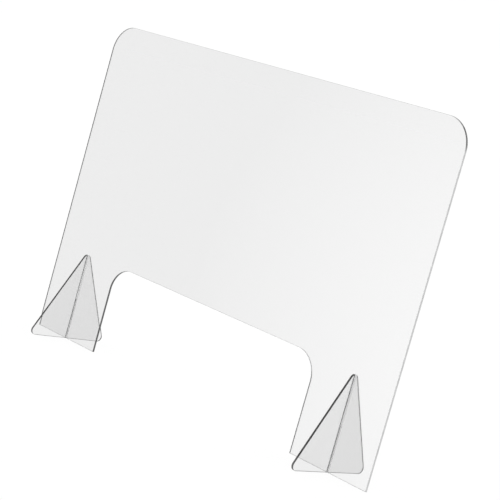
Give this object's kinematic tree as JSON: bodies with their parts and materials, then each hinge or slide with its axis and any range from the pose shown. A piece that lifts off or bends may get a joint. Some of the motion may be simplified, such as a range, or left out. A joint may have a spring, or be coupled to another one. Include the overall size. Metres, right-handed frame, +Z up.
{
  "type": "sneeze guard",
  "caption": "Clear acrylic counter screen with rounded top corners and a pass-through opening in its bottom edge, standing on triangular slot-in feet.",
  "frame": {"origin": "on the counter, below the middle of the screen, at the bottom centre of the bounding box", "axes": "+X along the screen to the right foot, +Y through the screen away from the customer, +Z up"},
  "size_m": [0.9, 0.1686, 0.6],
  "materials": {
    "clear_screen": "clear polished acrylic sheet, 4 mm",
    "clear_foot": "clear polished acrylic sheet, 4 mm, with dark laser-cut edges"
  },
  "bodies": {
    "left_foot": {"left_foot": "clear_foot"},
    "screen": {"screen": "clear_screen"},
    "right_foot": {"right_foot": "clear_foot"}
  },
  "joints": [
    {"name": "screen_lift", "type": "slide", "parent": "left_foot", "child": "screen", "axis": [0, 0, 1], "range_m": [0, 0.17]},
    {"name": "right_foot_release", "type": "slide", "parent": "screen", "child": "right_foot", "axis": [0, 0, -1], "range_m": [0, 0.17]}
  ],
  "couplings": [
    {"joint": "right_foot_release", "follows": "screen_lift", "ratio": 1}
  ]
}
